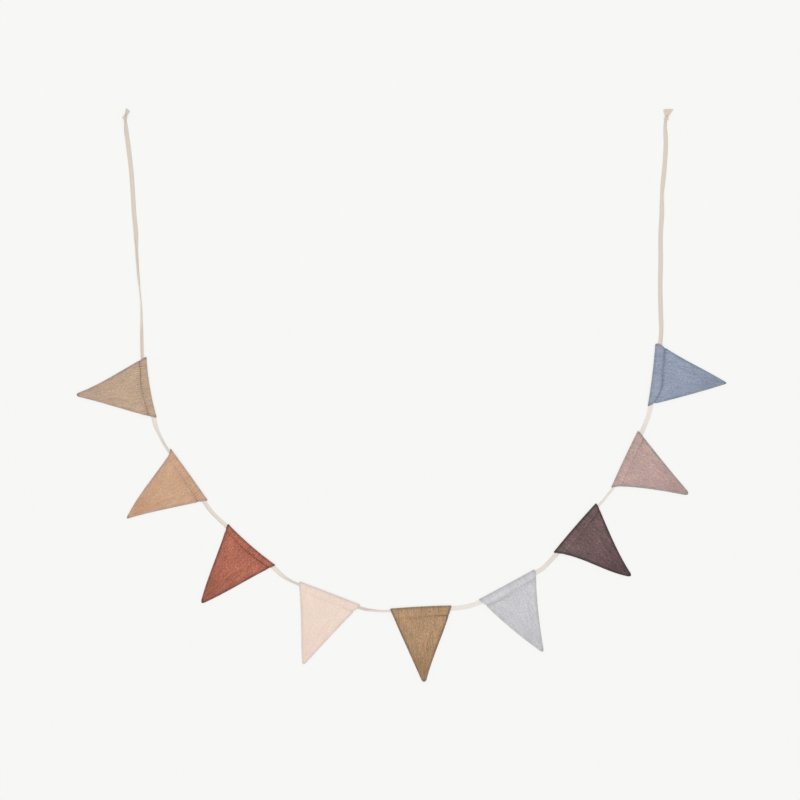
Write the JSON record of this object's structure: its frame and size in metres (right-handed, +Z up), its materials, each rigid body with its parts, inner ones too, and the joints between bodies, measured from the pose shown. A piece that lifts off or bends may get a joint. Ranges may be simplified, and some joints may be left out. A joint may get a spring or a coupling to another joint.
{
  "type": "fabric bunting",
  "caption": "Bunting of double cotton gauze pennants in muted colours, threaded on a flat cotton tape with a knotted tie at each end, laid flat in a garland curve.",
  "frame": {"origin": "on the surface that the bunting lies on, under the middle of the pennants' box", "axes": "+X along the row of pennants from the sand one to the blue one, +Y towards the tape's free ends, +Z up from the surface"},
  "size_m": [1.4293, 1.2608, 0.0082],
  "materials": {
    "gauze_sand": "matte crinkled cotton gauze",
    "gauze_caramel": "matte crinkled cotton gauze",
    "gauze_rust": "matte crinkled cotton gauze",
    "gauze_blush": "matte crinkled cotton gauze",
    "gauze_ochre": "matte crinkled cotton gauze",
    "gauze_grey": "matte crinkled cotton gauze",
    "gauze_plum": "matte crinkled cotton gauze",
    "gauze_mauve": "matte crinkled cotton gauze",
    "gauze_blue": "matte crinkled cotton gauze",
    "cotton_tape": "matte woven cotton tape"
  },
  "bodies": {
    "root": {"pennant_sand": "gauze_sand", "pennant_caramel": "gauze_caramel", "pennant_rust": "gauze_rust", "pennant_blush": "gauze_blush", "pennant_ochre": "gauze_ochre", "pennant_grey": "gauze_grey", "pennant_plum": "gauze_plum", "pennant_mauve": "gauze_mauve", "pennant_blue": "gauze_blue", "tape": "cotton_tape", "knot_left": "cotton_tape", "knot_right": "cotton_tape"}
  },
  "joints": []
}
